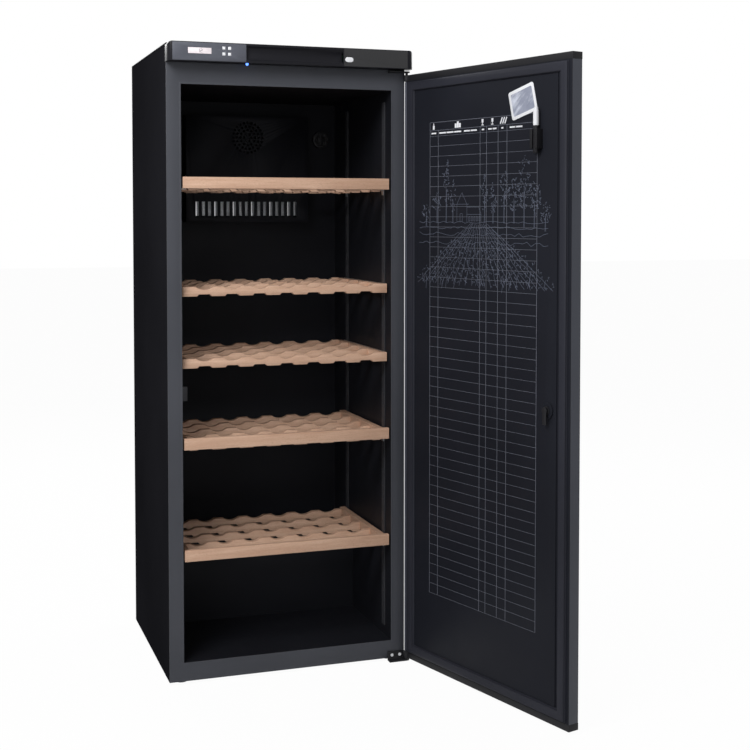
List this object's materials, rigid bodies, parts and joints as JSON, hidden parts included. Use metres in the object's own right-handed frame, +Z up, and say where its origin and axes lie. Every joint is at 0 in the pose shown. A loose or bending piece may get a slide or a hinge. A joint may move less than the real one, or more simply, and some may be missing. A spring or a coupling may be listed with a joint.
{
  "type": "wine cooler",
  "caption": "Tall free-standing wine cabinet with a solid right-hinged door, control fascia, beech storage and sliding shelves and a compressor bay.",
  "frame": {"origin": "on the floor, under the middle of the cabinet; the flat underside of the base is 10 mm above it on the feet", "axes": "+Z up, -Y towards the user at the front, +X to the hinge side"},
  "size_m": [0.9261, 1.3071, 1.797],
  "materials": {
    "black_paint": "fine textured black paint",
    "frame_paint": "satin blue-grey paint",
    "black_plastic": "matt black moulding",
    "gloss_black": "gloss black insert",
    "panel_plastic": "satin blue-grey",
    "white_plastic": "glossy white",
    "lit_window": "lit white display window",
    "blue_lens": "lit blue lens",
    "liner": "satin dark grey thermoformed plastic",
    "rigid_foam": "rigid polyurethane foam, hidden",
    "zinc_steel": "bright zinc plate",
    "aluminium_fins": "plain",
    "copper_tube": "drawn tube",
    "beech": "oiled beech",
    "gasket_rubber": "soft matt",
    "circuit_board": "solder resist",
    "label_sheet": "slate-look magnetic sheet with white border"
  },
  "bodies": {
    "cabinet": {"base_frame": "black_paint", "outer_wrapper": "black_paint", "rear_panel": "zinc_steel", "foam_insulation": "rigid_foam", "inner_liner": "liner", "front_frame": "frame_paint", "top_cover": "black_plastic", "fascia": "black_plastic", "control_panel": "panel_plastic", "display_window": "lit_window", "gloss_panel": "gloss_black", "control_board": "circuit_board", "blue_lamp_lens": "blue_lens", "slotted_rails": "liner", "shelf_supports": "zinc_steel", "evaporator_cover": "liner", "evaporator": "aluminium_fins", "fan_motor": "black_plastic", "air_filter": "black_plastic", "compressor": "black_paint", "condenser_coil": "copper_tube", "drip_tray": "black_plastic", "bay_cover": "black_paint", "power_inlet": "black_plastic", "top_hinge": "black_paint", "bottom_hinge": "black_paint", "hinge_screws": "zinc_steel", "lock_striker": "zinc_steel", "shelf_1_frame": "beech", "shelf_1_slats": "beech", "shelf_4_frame": "beech", "shelf_4_slats": "beech", "shelf_5_frame": "beech", "shelf_5_slats": "beech"},
    "door": {"door_skin": "black_paint", "door_foam": "rigid_foam", "door_inner_panel": "liner", "door_gasket": "gasket_rubber", "door_top_cap": "black_plastic", "door_bottom_cap": "black_plastic", "grip_cup": "black_plastic", "lock_body": "zinc_steel", "pen_clip": "black_plastic", "label_magnet": "label_sheet"},
    "lock_cam": {"lock_cam": "zinc_steel"},
    "marker_pen": {"marker_pen": "white_plastic"},
    "shelf_2": {"shelf_2_rails": "beech", "shelf_2_slats": "beech"},
    "shelf_3": {"shelf_3_rails": "beech", "shelf_3_slats": "beech"},
    "fan_rotor": {"fan_rotor": "white_plastic"},
    "button_up": {"button_up": "white_plastic"},
    "button_down": {"button_down": "white_plastic"},
    "button_set": {"button_set": "white_plastic"},
    "button_light": {"button_light": "white_plastic"},
    "power_switch": {"power_switch": "white_plastic"},
    "front_left_foot": {"front_left_foot": "black_plastic"},
    "front_right_foot": {"front_right_foot": "black_plastic"},
    "rear_left_foot": {"rear_left_foot": "black_plastic"},
    "rear_right_foot": {"rear_right_foot": "black_plastic"}
  },
  "joints": [
    {"name": "door_hinge", "type": "hinge", "parent": "cabinet", "child": "door", "pos_m": [0.352, -0.322, 0.87], "axis": [0, 0, 1], "range_deg": [-106, 14]},
    {"name": "lock_turn", "type": "hinge", "parent": "door", "child": "lock_cam", "pos_m": [0.5207, -0.91757, 0.823], "axis": [-0.9613, -0.2756, 0], "range_deg": [0, 90]},
    {"name": "pen_pull", "type": "slide", "parent": "door", "child": "marker_pen", "axis": [0, 0, 1], "range_m": [0, 0.075]},
    {"name": "shelf_2_slide", "type": "slide", "parent": "cabinet", "child": "shelf_2", "axis": [0, -1, 0], "range_m": [0, 0.26]},
    {"name": "shelf_3_slide", "type": "slide", "parent": "cabinet", "child": "shelf_3", "axis": [0, -1, 0], "range_m": [0, 0.26]},
    {"name": "fan_spin", "type": "hinge", "parent": "cabinet", "child": "fan_rotor", "pos_m": [0, 0.217, 1.57], "axis": [0, 1, 0], "continuous": true},
    {"name": "button_up_press", "type": "slide", "parent": "cabinet", "child": "button_up", "axis": [0, 1, 0], "range_m": [0, 0.0008], "stiffness_N_per_m": 1500},
    {"name": "button_down_press", "type": "slide", "parent": "cabinet", "child": "button_down", "axis": [0, 1, 0], "range_m": [0, 0.0008], "stiffness_N_per_m": 1500},
    {"name": "button_set_press", "type": "slide", "parent": "cabinet", "child": "button_set", "axis": [0, 1, 0], "range_m": [0, 0.0008], "stiffness_N_per_m": 1500},
    {"name": "button_light_press", "type": "slide", "parent": "cabinet", "child": "button_light", "axis": [0, 1, 0], "range_m": [0, 0.0008], "stiffness_N_per_m": 1500},
    {"name": "power_switch_press", "type": "slide", "parent": "cabinet", "child": "power_switch", "axis": [0, 1, 0], "range_m": [0, 0.0015], "stiffness_N_per_m": 1200},
    {"name": "front_left_foot_turn", "type": "hinge", "parent": "cabinet", "child": "front_left_foot", "pos_m": [-0.31, -0.27, 0], "axis": [0, 0, 1], "continuous": true},
    {"name": "front_right_foot_turn", "type": "hinge", "parent": "cabinet", "child": "front_right_foot", "pos_m": [0.31, -0.27, 0], "axis": [0, 0, 1], "continuous": true},
    {"name": "rear_left_foot_turn", "type": "hinge", "parent": "cabinet", "child": "rear_left_foot", "pos_m": [-0.31, 0.27, 0], "axis": [0, 0, 1], "continuous": true},
    {"name": "rear_right_foot_turn", "type": "hinge", "parent": "cabinet", "child": "rear_right_foot", "pos_m": [0.31, 0.27, 0], "axis": [0, 0, 1], "continuous": true}
  ]
}
